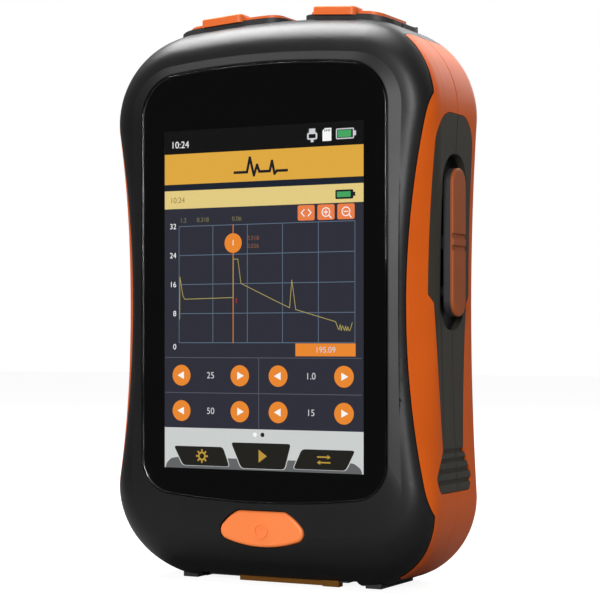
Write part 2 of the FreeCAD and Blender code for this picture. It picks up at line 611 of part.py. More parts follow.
def plan(name, middle, wide, corner, grow=""):
    """Upright prism with a cover's outline seen from above."""
    flat = f"cover_back - hinge_notch - cover_front{grow}"
    return plate(name, "XY_Plane", wide, flat, "2 * top_corner",
                 (middle, depth("(cover_front + cover_back - hinge_notch) / 2"), "case_top - top_corner"), corner)


plate_top = size("cover_thick") - size("cover_sink")
sky = size("top_corner")
cover_band = above_top("cover_band", "cover_front", "cover_back", -size("cover_sink"), plate_top)
inlay_band = above_top("inlay_band", "cover_front", "cover_back", plate_top, plate_top + size("inlay_thick"))
seat_band = above_top("seat_band", "facet_depth", "case_depth", -size("cover_sink") - size("seat_gap"), sky)
hinge_radius = "cover_thick / 2"
hinge_level, hinge_high = "cover_back - cover_thick / 2", "cover_thick / 2 - cover_sink"
cover_low, deck_top = "-cover_sink", "-cover_sink - seat_gap"
port_base = "-port_below - port_high - cover_sink"
sleeve_base = f"{port_base} - port_tail + sleeve_below"
lug_from = "hinge_half + lug_gap"
ports = {"left": {"otdr_port": "-port_step", "vfl_port": "port_step"}, "right": {"meter_port": "0"}}


def deck_half(word):
    return f"({word}_cover_half - deck_border)"


def well_half(word):
    return f"({word}_cover_half - deck_border - well_border)"


def port_deck(name, word):
    """Sunken tray under a cover: its rim follows the case, two lugs at its back hold the cover's pin."""
    half, well = deck_half(word), well_half(word)
    body = box(name + "_body", (f"-{half}", depth("deck_front"), f"{port_base} - deck_floor"),
               f"2 * {half}", "cover_back - deck_front", f"deck_floor - ({port_base})")
    flange = box(name + "_flange", (f"-({half} + deck_flange)", depth("deck_front - deck_flange"),
                                    "-deck_flange_top - deck_flange_thick"),
                 f"2 * ({half} + deck_flange)", "cover_back - deck_front + 2 * deck_flange", "deck_flange_thick")
    tray = cut(name + "_tray", on_top(fuse(name + "_level", [body, flange]), word), [seat_band])
    lugs = []
    for end in (-1, 1):
        start = lug_from if end > 0 else f"-({lug_from}) - lug_wide"
        knob = cylinder(f"{name}_lug_{end + 1}", (start, depth(hinge_level), hinge_high), hinge_radius,
                        "lug_wide", "x")
        foot = box(f"{name}_foot_{end + 1}", (start, depth(f"{hinge_level} - {hinge_radius}"), "-deck_flange_top"),
                   "lug_wide", f"2 * {hinge_radius}", f"deck_flange_top + {hinge_high}")
        lugs += [knob, foot]
    tools = [box(name + "_well", (f"-{well}", depth("well_front"), port_base), f"2 * {well}",
                 "well_back - well_front", "port_high * 2"),
             cylinder(name + "_pin_hole", (f"-({lug_from}) - lug_wide", depth(hinge_level), hinge_high),
                      "hinge_pin", f"2 * ({lug_from} + lug_wide)", "x")]
    for port_name, x in ports[word].items():
        tools.append(cylinder(port_name + "_hole", (x, depth("port_depth"), f"{port_base} - deck_floor"),
                              "tail_radius", "deck_floor", "z"))
    blank = fuse(name + "_blank", [tray, on_top(fuse(name + "_lugs", lugs), word)])
    return cut(name, blank, [on_top(group(name + "_tools", tools), word)])


def port(name, word, x):
    """Threaded-barrel receptacle: a round flange on the deck's floor and a tail below it."""
    y = depth("port_depth")
    solid = [cylinder(name + "_barrel", (x, y, port_base), "port_radius", "port_high"),
             cylinder(name + "_flange", (x, y, port_base), "port_flange", "port_flange_thick"),
             cylinder(name + "_tail", (x, y, f"{port_base} - port_tail"), "tail_radius", "port_tail")]
    tools = [cylinder(name + "_inside", (x, y, f"{port_base} + port_flange_thick"), "port_inside", "port_high"),
             cylinder(name + "_socket", (x, y, sleeve_base), "port_bore + sleeve_wall", "sleeve_long * 2"),
             box(name + "_key", (f"{x} - port_key / 2", depth("port_depth - port_radius"),
                                 f"{port_base} + port_high - port_key_deep"),
                 "port_key", "port_radius - port_inside / 2", "port_key_deep")]
    return on_top(cut(name, fuse(name + "_blank", solid), tools), word)


def sleeve(name, word, x):
    """Ceramic tube that centres a ferrule in its receptacle."""
    y = depth("port_depth")
    tube = cylinder(name + "_tube", (x, y, sleeve_base), "port_bore + sleeve_wall", "sleeve_long")
    bore = cylinder(name + "_bore", (x, y, sleeve_base), "port_bore", "sleeve_long")
    return on_top(cut(name, tube, [bore]), word)


def cover(word, outer_end):
    """Rubber cover: plate, plug and hinge barrel; an orange inlay on top and a pull tab in front."""
    middle, half = f"{word}_cover_middle", f"{word}_cover_half"
    plug_half = f"({well_half(word)} - plug_gap)"
    panel = common(word + "_panel", plan(word + "_plan", middle, f"2 * {half}", "cover_corner"), cover_band)
    tongue = box(word + "_tongue", ("-hinge_half", depth("cover_back - hinge_notch - 2 * cover_sink"), cover_low),
                 "2 * hinge_half", f"hinge_notch + 2 * cover_sink - {hinge_radius}", "cover_thick")
    barrel = cylinder(word + "_barrel", ("-hinge_half", depth(hinge_level), hinge_high), hinge_radius,
                      "2 * hinge_half", "x")
    plug = box(word + "_plug", (f"-{plug_half}", depth("well_front + plug_gap"), cover_low + " - plug_thick"),
               f"2 * {plug_half}", "well_back - well_front - 2 * plug_gap", "plug_thick + cover_sink")
    hole = cylinder(word + "_hole", ("-hinge_half", depth(hinge_level), hinge_high), "hinge_pin + hinge_clear",
                    "2 * hinge_half", "x")
    nick_from = f"{half} - end_notch" if outer_end > 0 else f"-{half} - end_notch"
    nick = box(word + "_nick", (nick_from, depth("seam_depth - end_notch"), "-3 * cover_thick"), "2 * end_notch",
               "2 * end_notch", "6 * cover_thick")
    level = on_top(fuse(word + "_level", [tongue, barrel, plug]), word)
    holes = on_top(group(word + "_holes", [hole, nick]), word)
    cut(f"cover_{word}_base", fuse(word + "_base", [panel, level]), [holes])

    tab_low = "cover_thick - cover_sink + tab_rise - tab_high"
    tab_x = f"({word}_tab_middle - {middle})"
    tab_room = box(word + "_tab_room", (f"{tab_x} - tab_half", depth("tab_front"), 0), "2 * tab_half", "tab_deep",
                   "tab_high * 2")
    inlay_plan = plan(word + "_inlay_plan", f"{middle} - {outer_end} * (inlay_end - inlay_border) / 2",
                      f"2 * {half} - inlay_end - inlay_border", "cover_corner - inlay_border", " - 2 * inlay_border")
    cut(f"cover_{word}_inlay", common(word + "_inlay_skin", inlay_plan, inlay_band),
        [on_top(group(word + "_tab_rooms", [tab_room]), word)])
    bar = plate(word + "_tab_bar", "XY_Plane", "2 * tab_half", "tab_deep", "tab_high",
                (tab_x, depth("tab_front + tab_deep / 2"), tab_low), "tab_corner", "tab_edge")
    cut(f"cover_{word}_tab", on_top(group(word + "_tab_bars", [bar]), word), [cover_band])
    pin = cylinder(word + "_pin", (f"-({lug_from}) - lug_wide", depth(hinge_level), hinge_high), "hinge_pin",
                   f"2 * ({lug_from} + lug_wide)", "x")
    on_top(group(f"cover_{word}_pin", [pin]), word)


for word, outer_end in (("left", -1), ("right", 1)):
    port_deck(f"port_deck_{word}", word)
    cover(word, outer_end)
    for name, x in ports[word].items():
        port(name, word, x)
group("ferrule_sleeves", [sleeve(name + "_sleeve", word, x)
                          for word in ports for name, x in ports[word].items()])


def top_openings(word):
    """Room in the case for a deck, and the shallow seat that the cover lies in."""
    gap = f"({deck_half(word)} + part_gap)"
    through = box(f"deck_room_{word}", (f"-{gap}", depth("deck_front - part_gap"), "-deck_flange_top"),
                  f"2 * {gap}", "cover_back - deck_front + 2 * part_gap", "deck_flange_top * 3")
    seat = plan(word + "_seat_plan", f"{word}_cover_middle", f"2 * {word}_cover_half + 4 * seat_gap",
                "cover_corner + 2 * seat_gap", " + 4 * seat_gap")
    return [on_top(group(f"deck_rooms_{word}", [through]), word), common(word + "_seat", seat, seat_band)]


top_rooms = top_openings("left") + top_openings("right")

# ---------------------------------------------------------------- side rocker
seam_y = depth("seam_depth")


def rocker_plate():
    """Dark rocker with its pivot eye and two nubs, and the coloured face on it."""
    wide, high = "2 * rocker_wide", "2 * rocker_half"
    face_back = "rocker_out - rocker_face_thick"
    base = plate("rocker_base", "YZ_Plane", wide, high, "rocker_thick - rocker_face_thick",
                 ("rocker_out - rocker_thick", seam_y, "rocker_middle"), "rocker_corner")
    face = plate("rocker_cap", "YZ_Plane", wide, high, "rocker_face_thick", (face_back, seam_y, "rocker_middle"),
                 "rocker_corner", "rocker_edge")
    boss = box("rocker_boss", ("pivot_out", seam_y + " - pivot_boss", "rocker_middle - pivot_boss"),
               "rocker_out - rocker_thick - pivot_out", "2 * pivot_boss", "2 * pivot_boss")
    eye = cylinder("rocker_eye", ("pivot_out", seam_y + " - pivot_boss", "rocker_middle"), "pivot_boss",
                   "2 * pivot_boss", "y")
    nubs = [cylinder(f"rocker_nub_{end + 1}", ("nub_out", seam_y, f"rocker_middle + {end} * rocker_nub"),
                     "nub_radius", "rocker_out - rocker_thick - nub_out", "x") for end in (-1, 1)]
    bore = cylinder("rocker_bore", ("pivot_out", seam_y + " - pivot_boss", "rocker_middle"),
                    "pivot_radius + pivot_clear", "2 * pivot_boss", "y")
    grooves = [box(f"rocker_groove_{end + 1}", ("rocker_out - groove_deep", seam_y + " - rocker_wide",
                   f"rocker_middle + {end} * groove_step - groove_wide / 2"), "groove_deep * 2", "2 * rocker_wide",
                   "groove_wide") for end in (-1, 1)]
    cut("side_rocker", fuse("rocker_blank", [base, boss, eye] + nubs), [bore])
    cut("rocker_face", face, grooves)


def rocker_carrier():
    """Plate behind the slot with two lugs for the pin and two end walls that reach the case."""
    back = "carrier_out - carrier_thick"
    base = box("carrier_plate", (back, seam_y + " - carrier_wide", "rocker_middle - carrier_half"),
               "carrier_thick", "2 * carrier_wide", "2 * carrier_half")
    pieces = [base]
    for end in (-1, 1):
        edge = "rocker_middle + carrier_half - lug_wide" if end > 0 else "rocker_middle - carrier_half"
        wall = "waist_half - skin - wall - fit_gap - carrier_out"
        pieces.append(box(f"carrier_end_{end + 1}", ("carrier_out", seam_y + " - carrier_wide", edge),
                          wall, "2 * carrier_wide", "lug_wide"))
        start = f"{seam_y} + pivot_boss + part_gap" if end > 0 else f"{seam_y} - pivot_boss - part_gap - lug_wide"
        pieces.append(box(f"carrier_lug_{end + 1}", ("carrier_out", start, "rocker_middle - pivot_boss"),
                          "pivot_out - carrier_out", "lug_wide", "2 * pivot_boss"))
        pieces.append(cylinder(f"carrier_knob_{end + 1}", ("pivot_out", start, "rocker_middle"), "pivot_boss",
                               "lug_wide", "y"))
    hole = cylinder("carrier_hole", ("pivot_out", seam_y + " - carrier_wide", "rocker_middle"), "pivot_radius",
                    "2 * carrier_wide", "y")
    cut("rocker_carrier", fuse("carrier_blank", pieces), [hole])


rocker_plate()
rocker_carrier()
pin_half = "(pivot_boss + part_gap + lug_wide)"
cylinder("rocker_pin", ("pivot_out", f"{seam_y} - {pin_half}", "rocker_middle"), "pivot_radius",
         f"2 * {pin_half}", "y")
group("rocker_switches", [box(f"rocker_switch_{end + 1}", ("carrier_out", seam_y + " - switch_side / 2",
      f"rocker_middle + {end} * rocker_nub - switch_side / 2"), "switch_high", "switch_side", "switch_side")
      for end in (-1, 1)])
rocker_room = shape("rocker_room", recess.fuse(slot))

# ---------------------------------------------------------------- boards, module, spool, battery
posts = [(side, height) for side in (-1, 1) for height in ("post_low", "post_high")]
board = plate("board_sheet", "XZ_Plane", "2 * board_half", "board_height", "board_thick",
              (0, depth("board_depth"), "board_bottom + board_height / 2"), "board_corner")
board_back = "board_depth + board_thick"
post_screws = ("small_screw", "small_long + board_thick")
board_holes = [screw_hole(f"board_hole_{i}", f"{side} * post_side", height, board_back, *post_screws)
               for i, (side, height) in enumerate(posts)]
cut("main_board", board, board_holes)
board_posts = [cylinder(f"board_post_{i}", (f"{side} * post_side", depth("front_wall"), height), "post_radius",
                        "board_depth - front_wall", "y") for i, (side, height) in enumerate(posts)]
post_bores = [screw_hole(f"post_bore_{i}", f"{side} * post_side", height, board_back, *post_screws)
              for i, (side, height) in enumerate(posts)]
group("board_screws", [screw(f"board_screw_{i}", f"{side} * post_side", height, board_back, *post_screws,
                             "small_head", "small_head_high") for i, (side, height) in enumerate(posts)])
chips = {"processor": "-board_half / 2", "memory": "board_half / 2"}
chip_front = depth("board_depth - chip_thick")
group("board_chips", [box(f"chip_{name}", (f"{x} - chip_side / 2", chip_front, "chip_row - chip_side / 2"),
                          "chip_side", "chip_thick", "chip_side") for name, x in chips.items()])
plate("shield_can", "XZ_Plane", "shield_wide", "shield_high", "shield_thick",
      (0, depth("board_depth - shield_thick"), "shield_row"), "board_corner", "shield_edge")
cylinder("buzzer", ("board_half / 2", depth(board_back), "shield_row"), "buzzer_radius", "buzzer_thick", "y")

module_low = "module_top - module_high"
module_body = plate("module_body", "XZ_Plane", "2 * module_half", "module_high", "module_deep",
                    (0, depth("module_front"), "module_top - module_high / 2"), "module_round")
module_rib = [box(f"module_rib_{side + 1}", (f"{side} * rib_place * module_half - rib_thick / 2",
                  depth("module_front + module_deep"), module_low), "rib_thick",
                  "back_inner - module_front - module_deep", "module_high / 2") for side in (-1, 1)]
fuse("optical_module", [module_body] + module_rib)

spool_y = depth("spool_front")
spool_parts = [cylinder("spool_hub_disc", (0, spool_y, "spool_height"), "spool_hub", "spool_thick", "y")]
for i, start in enumerate(("spool_front", "spool_front + spool_thick - spool_plate")):
    spool_parts.append(cylinder(f"spool_plate_{i}", (0, depth(start), "spool_height"), "spool_radius",
                                "spool_plate", "y"))
spool_eye = cylinder("spool_eye", (0, spool_y, "spool_height"), "spool_post", "spool_thick", "y")
cut("fibre_spool", fuse("spool_blank", spool_parts), [spool_eye])
coil = cylinder("coil_disc", (0, depth("spool_front + spool_plate"), "spool_height"),
                "spool_radius - coil_margin", "spool_thick - 2 * spool_plate", "y")
coil_eye = cylinder("coil_eye", (0, spool_y, "spool_height"), "spool_hub", "spool_thick", "y")
cut("fibre_coil", coil, [coil_eye])
spool_post = cylinder("spool_stub", (0, spool_y, "spool_height"), "spool_post",
                      "back_inner + back_wall / 2 - spool_front", "y")
spool_shoulder = cylinder("spool_shoulder", (0, depth("spool_front + spool_thick"), "spool_height"), "spool_hub",
                          "back_inner + back_wall / 2 - spool_front - spool_thick", "y")

plate("battery_pack", "XZ_Plane", "2 * battery_half", "battery_height", "battery_thick",
      (0, depth("battery_depth"), "battery_bottom + battery_height / 2"), "battery_round", "battery_edge")
strap_low = "battery_bottom + battery_height / 2 - clamp_wide / 2"
strap_end, strap_y = "(battery_half + fit_gap + clamp_thick)", depth("battery_depth - clamp_thick")
strap = [box("strap_front", (f"-{strap_end}", strap_y, strap_low), f"2 * {strap_end}", "clamp_thick",
             "clamp_wide")]
for end in (-1, 1):
    leg = "battery_half + fit_gap" if end > 0 else f"-{strap_end}"
    strap.append(box(f"strap_leg_{end + 1}", (leg, strap_y, strap_low), "clamp_thick",
                     "back_inner - battery_depth + clamp_thick", "clamp_wide"))
fuse("battery_clamp", strap)
box("battery_socket", ("board_half / 2", depth(board_back), "battery_bottom + battery_height - plug_high"),
    "plug_wide", "battery_depth - clamp_thick - board_depth - board_thick - fit_gap", "plug_high")

# ---------------------------------------------------------------- bottom bay, lid and sockets
bay = box("bay", ("-bay_half", depth("bay_front"), "-bay_high"), "2 * bay_half", "bay_back - bay_front",
          "2 * bay_high")
bay_roof = box("bay_roof", ("-(bay_half + wall)", depth("bay_front - wall"), "case_floor"),
               "2 * (bay_half + wall)", "bay_back - bay_front + 2 * wall", "bay_high + wall - case_floor")
lid_hinge, lid_radius = "lid_back - lid_thick / 2", "lid_thick / 2"
lid_axis = f"lid_low + {lid_radius}"
lid_panel = box("lid_panel", ("-lid_half", depth("lid_front + lid_strip_deep"), "lid_low"),
                "2 * lid_half", f"{lid_hinge} - lid_front - lid_strip_deep", "lid_thick")
lid_nose = [box("lid_nose_left", ("-lid_half", depth("lid_front"), "lid_low"), "lid_strip_from + lid_half",
                "lid_strip_deep", "lid_thick"),
            box("lid_nose_right", ("lid_tab_to", depth("lid_front"), "lid_low"), "lid_half - lid_tab_to",
                "lid_strip_deep", "lid_thick")]
lid_barrel = cylinder("lid_barrel", ("-lid_half", depth(lid_hinge), lid_axis), lid_radius, "2 * lid_half", "x")
lid_bore = cylinder("lid_bore", ("-lid_half", depth(lid_hinge), lid_axis), "lid_pin + hinge_clear",
                    "2 * lid_half", "x")
cut("bottom_lid", fuse("lid_blank", [lid_panel, lid_barrel] + lid_nose), [lid_bore])
strip = box("lid_strip", ("lid_strip_from", depth("lid_front"), "lid_strip_low"),
            "lid_strip_to - lid_strip_from", "lid_strip_deep", "lid_thick")
lid_tab = box("lid_tab", ("lid_strip_to", depth("lid_front - lid_tab_out"), "lid_strip_low - lid_tab_drop"),
              "lid_tab_to - lid_strip_to", "lid_strip_deep + lid_tab_out", "lid_thick")
fuse("bottom_lid_strip", [strip, lid_tab])
pin_reach = "(lid_half + lug_gap + lug_wide)"
pin_place = (f"-{pin_reach}", depth(lid_hinge), lid_axis)
cylinder("bottom_lid_pin", pin_place, "lid_pin", f"2 * {pin_reach}", "x")
lid_lugs = []
for end in (-1, 1):
    start = "lid_half + lug_gap" if end > 0 else f"-{pin_reach}"
    lid_lugs += [cylinder(f"lid_knob_{end + 1}", (start, depth(lid_hinge), lid_axis), lid_radius, "lug_wide", "x"),
                 box(f"lid_lug_{end + 1}", (start, depth(f"{lid_hinge} - {lid_radius}"), lid_axis), "lug_wide",
                     f"2 * {lid_radius}", f"bay_high + wall / 2 - ({lid_axis})")]
lid_pin_hole = cylinder("lid_pin_hole", pin_place, "lid_pin", f"2 * {pin_reach}", "x")

socket_low = "bay_high + fit_gap"


def socket(name, shift, half, thick, high, start):
    """Sheet-metal receptacle, open downwards, soldered to the board's lower edge."""
    shell = box(name + "_shell", (f"{shift} - {half}", depth(start), socket_low), f"2 * ({half})", thick, high)
    room = box(name + "_mouth", (f"{shift} - {half} + socket_wall", depth(f"{start} + socket_wall"), socket_low),
               f"2 * ({half} - socket_wall)", f"{thick} - 2 * socket_wall", f"{high} - socket_wall")
    cut(name, shell, [room])
    return box(name + "_room", (f"{shift} - {half} - part_gap", depth(f"{start} - part_gap"), 0),
               f"2 * ({half} + part_gap)", f"{thick} + 2 * part_gap", f"{high} + {socket_low}")


sockets = [socket("usb_socket", "socket_shift", "socket_half", "socket_thick", "socket_deep", board_back),
           socket("card_slot", "card_shift", "card_half", "card_thick", "card_deep", "board_depth - card_thick")]

# ---------------------------------------------------------------- feet, case screws, lamp
for side, word in ((-1, "left"), (1, "right")):
    near = "foot_in" if side > 0 else "-foot_out"
    pad = box(word + "_foot_block", (near, depth("foot_front"), 0), "foot_out - foot_in",
              "foot_back - foot_front", "foot_high")
    cut("foot_" + word, pad, [shape(word + "_foot_trim", outer)])

bosses = [(side, height) for side in (-1, 1) for height in ("boss_low", "boss_high")]
head_seat = "case_depth - screw_recess"
case_screw = ("screw_radius", "screw_long")
group("case_screws", [screw(f"case_screw_{i}", f"{side} * boss_side", height, head_seat, *case_screw,
                            "screw_head", "screw_head_high") for i, (side, height) in enumerate(bosses)])
front_bosses = [cylinder(f"front_boss_{i}", (f"{side} * boss_side", depth("front_wall"), height), "boss_radius",
                         "seam_depth - front_wall", "y") for i, (side, height) in enumerate(bosses)]
back_bosses = [cylinder(f"back_boss_{i}", (f"{side} * boss_side", depth("seam_depth"), height), "boss_radius",
                        "case_depth - back_wall / 2 - seam_depth", "y") for i, (side, height) in enumerate(bosses)]
screw_bores = [screw_hole(f"screw_bore_{i}", f"{side} * boss_side", height, head_seat, *case_screw)
               for i, (side, height) in enumerate(bosses)]
head_wells = [cylinder(f"head_well_{i}", (f"{side} * boss_side", depth(head_seat), height),
                       "screw_head + part_gap", "2 * screw_recess", "y")
              for i, (side, height) in enumerate(bosses)]
lamp_axis = ("lamp_middle", depth("lamp_depth"), "case_top - lamp_long")
cylinder("lamp_lens", lamp_axis, "lamp_radius", "lamp_long + lamp_proud", "z")
lamp_hole = cylinder("lamp_hole", lamp_axis, "lamp_radius", "lamp_long * 2", "z")

# ---------------------------------------------------------------- the two case halves
doc.recompute()
openings = top_rooms + [bay] + sockets
roof = {half: shape(f"{half}_roof", bay_roof.Shape.common(outer).common(cutter))
        for half, cutter in halves.items()}
front_solid = fuse("front_solid", [blanks["front"], roof["front"]] + front_bosses + board_posts + ear_pads)
front_rooms = [glass_room, window, power_room, rocker_room]
cut("front_shell", front_solid, openings + front_rooms + screw_bores + ear_bores + post_bores)
back_inside = fuse("back_inside", [roof["back"], spool_post, spool_shoulder] + back_bosses)
back_solid = fuse("back_solid", [blanks["back"], back_inside])
back_open = cut("back_open", back_solid, openings + [rocker_room, lamp_hole] + screw_bores + head_wells)
cut("back_shell", fuse("back_joined", [back_open] + lid_lugs), [lid_pin_hole])
cut("seal_gasket", seal, openings + [rocker_room, bay_roof])

# ---------------------------------------------------------------- check and write
nodes = """front_shell back_shell bumper_right_front bumper_right_back bumper_left_front
bumper_left_back grip_right_front grip_right_back grip_left_front grip_left_back seal_gasket
front_glass display_mask lcd_panel lcd_tray display_bracket bracket_screws power_button power_switch
side_rocker rocker_carrier rocker_face rocker_pin rocker_switches port_deck_left port_deck_right
otdr_port meter_port vfl_port ferrule_sleeves cover_left_base cover_left_inlay cover_left_tab
cover_left_pin cover_right_base cover_right_inlay cover_right_tab cover_right_pin main_board
board_chips shield_can buzzer board_screws optical_module fibre_spool fibre_coil battery_pack
battery_clamp battery_socket bottom_lid bottom_lid_strip bottom_lid_pin usb_socket card_slot foot_left
foot_right case_screws lamp_lens""".split()

doc.recompute()
for item in doc.Objects:
    if any(word in item.State for word in ("Invalid", "Error")):
        raise RuntimeError(f"{item.Label} did not build: {item.State}")
os.makedirs("parts", exist_ok=True)
for node in nodes:
    solid = doc.getObjectsByLabel(node)[0].Shape
    if solid.isNull() or not solid.isValid() or not solid.Solids:
        raise RuntimeError(f"{node} has no valid solid")
    solid.exportStep(f"parts/{node}.step")
    print(f"{node}: {len(solid.Solids)} solid(s), {solid.Volume:.0f} mm3")
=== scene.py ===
import math
import random

import bmesh
import bpy
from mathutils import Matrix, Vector


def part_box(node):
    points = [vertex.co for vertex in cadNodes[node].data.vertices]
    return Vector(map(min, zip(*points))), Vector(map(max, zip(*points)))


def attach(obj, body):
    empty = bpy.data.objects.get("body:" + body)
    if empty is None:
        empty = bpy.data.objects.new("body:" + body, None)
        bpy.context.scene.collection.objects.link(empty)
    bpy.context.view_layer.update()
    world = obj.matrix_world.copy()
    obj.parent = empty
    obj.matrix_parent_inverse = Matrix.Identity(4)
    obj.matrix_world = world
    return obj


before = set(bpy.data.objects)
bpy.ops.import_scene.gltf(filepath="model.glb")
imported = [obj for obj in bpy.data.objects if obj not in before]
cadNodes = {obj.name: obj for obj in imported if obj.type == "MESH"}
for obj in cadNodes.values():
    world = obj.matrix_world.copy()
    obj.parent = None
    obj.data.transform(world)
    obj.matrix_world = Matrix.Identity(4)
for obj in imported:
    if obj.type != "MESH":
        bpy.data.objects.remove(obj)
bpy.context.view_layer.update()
mm = 0.001
print("frame loaded with", len(cadNodes), "nodes")


def linearColour(hexCode):
    # sRGB hex to the linear values that a shader takes
    parts = [int(hexCode[i:i + 2], 16) / 255 for i in (0, 2, 4)]
    linear = [c / 12.92 if c <= 0.04045 else ((c + 0.055) / 1.055) ** 2.4 for c in parts]
    return (*linear, 1.0)


def addNode(tree, kind, inputs=None, **settings):
    # one node with its settings; an input is a value or another node's output
    node = tree.nodes.new(kind)
    for name, value in settings.items():
        setattr(node, name, value)
    for name, value in (inputs or {}).items():
        if isinstance(value, bpy.types.NodeSocket):
            tree.links.new(value, node.inputs[name])
        else:
            node.inputs[name].default_value = value
    return node


def newMaterial(name, colour, roughness, **values):
    # a Principled surface; extra values go to the sockets of those names
    material = bpy.data.materials.new(name)
    material.use_nodes = True
    shader = material.node_tree.nodes["Principled BSDF"]
    shader.inputs["Base Color"].default_value = linearColour(colour)
    shader.inputs["Roughness"].default_value = roughness
    for socket, value in values.items():
        shader.inputs[socket.replace("_", " ")].default_value = value
    return material


def addGrain(material, grainMm, depthMm):
    # the fine bump of a moulded surface
    tree = material.node_tree
    place = addNode(tree, "ShaderNodeTexCoord").outputs["Object"]
    grain = addNode(tree, "ShaderNodeTexNoise", {"Vector": place, "Scale": 1 / (grainMm * mm), "Detail": 2.0})
    bump = addNode(tree, "ShaderNodeBump",
                   {"Height": grain.outputs["Fac"], "Distance": depthMm * mm, "Strength": 1.0})
    tree.links.new(bump.outputs["Normal"], tree.nodes["Principled BSDF"].inputs["Normal"])
    return material


def moulded(name, shades, gloss, grainMm, depthMm, specular=0.5):
    # a grained moulding whose shade and roughness drift slowly between two values
    material = newMaterial(name, shades[0], gloss[0], Specular_IOR_Level=specular)
    addGrain(material, grainMm, depthMm)
    tree = material.node_tree
    shader = tree.nodes["Principled BSDF"]
    place = addNode(tree, "ShaderNodeTexCoord").outputs["Object"]
    drift = addNode(tree, "ShaderNodeTexNoise", {"Vector": place, "Scale": 1 / (driftMm * mm), "Detail": 3.0})
    mix = addNode(tree, "ShaderNodeMix", data_type="RGBA")
    mix.inputs[6].default_value, mix.inputs[7].default_value = [linearColour(shade) for shade in shades]
    tree.links.new(drift.outputs["Fac"], mix.inputs[0])
    tree.links.new(mix.outputs[2], shader.inputs["Base Color"])
    span = addNode(tree, "ShaderNodeMapRange",
                   {"Value": drift.outputs["Fac"], "To Min": gloss[0], "To Max": gloss[1]})
    tree.links.new(span.outputs["Result"], shader.inputs["Roughness"])
    return material


# Grains finer than half a millimetre don't show, so they are drawn at about that size.
driftMm = 18
finishes = {
    # spark-eroded ABS: deep black with a soft satin sheen
    "hard_shell": moulded("absSparkEroded", ("0D0D0F", "121214"), (0.38, 0.46), 0.5, 0.010, 0.36),
    # overmoulded elastomer: warm orange with a faint silky highlight
    "soft_orange": moulded("elastomerOrange", ("CA5409", "D65D12"), (0.45, 0.55), 0.45, 0.012, 0.2),
    # soft grip elastomer: brown-black and matt
    "soft_grip": moulded("elastomerGrip", ("2C2920", "353128"), (0.56, 0.68), 0.6, 0.02, 0.4),
    # moulded rubber: dark grey and matt
    "dark_rubber": moulded("rubberDark", ("242426", "2D2D2F"), (0.52, 0.64), 0.5, 0.015),
    # moulded rubber in the accent colour: bright orange, matt
    "orange_rubber": moulded("rubberOrange", ("DE611A", "EA6E28"), (0.45, 0.55), 0.5, 0.012),
    # the lid's orange strip in painted shade: brown-gold, the orange as it looks shaded on the underside,
    # with a soft metallic gloss
    "gold_strip": addGrain(newMaterial("shadedOrangeStrip", "8A5A1E", 0.4, Metallic=0.6), 0.5, 0.006),
    # polyurethane-coated key: light orange satin
    "key_orange": moulded("keyCoatedOrange", ("F77E3A", "FD8A48"), (0.38, 0.46), 0.45, 0.008),
    # elastomer of the rocker: darker, browner orange
    "rocker_orange": moulded("rockerElastomer", ("94481E", "A25224"), (0.45, 0.56), 0.45, 0.012, 0.25),
    # clear cover glass: sharp reflections over what is behind it
    "lens_glass": newMaterial("coverGlass", "FFFFFF", 0.02, IOR=1.5, Transmission_Weight=1.0),
    # screen-printed ink behind the glass: plain black
    "black_ink": newMaterial("screenPrintInk", "1C1A1B", 0.6),
    # liquid crystal panel: near black where nothing is shown
    "display": newMaterial("panelFace", "060607", 0.3),
    # plain steel pins: grey metal, slightly blurred
    "steel": newMaterial("steelPlain", "BBBBBD", 0.35, Metallic=1.0),
    # aluminium sheet: pale and satin
    "aluminium_plate": newMaterial("aluminiumSheet", "D8D8DA", 0.4, Metallic=1.0),
    # moulded nylon: black, slightly glossy
    "black_nylon": addGrain(newMaterial("nylonBlack", "202022", 0.5), 0.5, 0.01),
    # nickel plate on the receptacles: warm bright metal
    "nickel": newMaterial("nickelPlate", "CFC9BE", 0.22, Metallic=1.0),
    # zirconia sleeves: glazed off-white
    "ceramic": newMaterial("zirconia", "EFEDE6", 0.25),
    # solder mask: green with a thin gloss
    "circuit_board": newMaterial("solderMask", "0F5A2C", 0.4),
    # chip resin: flat black
    "chip_black": newMaterial("chipResin", "202022", 0.5),
    # polystyrene spool: milky white
    "spool_plastic": newMaterial("spoolPolystyrene", "DCDCD6", 0.45),
    # coated fibre: glossy yellow
    "fibre_yellow": newMaterial("fibreCoating", "E3C341", 0.35),
    # shrink wrap round the cells: glossy blue
    "battery_wrap": newMaterial("shrinkWrap", "2A4AA0", 0.3),
    # blackened screws: dark metal
    "screw_steel": newMaterial("steelBlackened", "4A4A4A", 0.4, Metallic=1.0),
    # clear epoxy lens: a small bright highlight
    "lamp_clear": newMaterial("lampEpoxy", "F4F6F8", 0.05, IOR=1.54, Transmission_Weight=1.0),
}
for node in cadNodes.values():
    node.material_slots[0].material = finishes[node.material_slots[0].material.name.split(".")[0]]
print("finishes on the CAD nodes:", len(finishes))

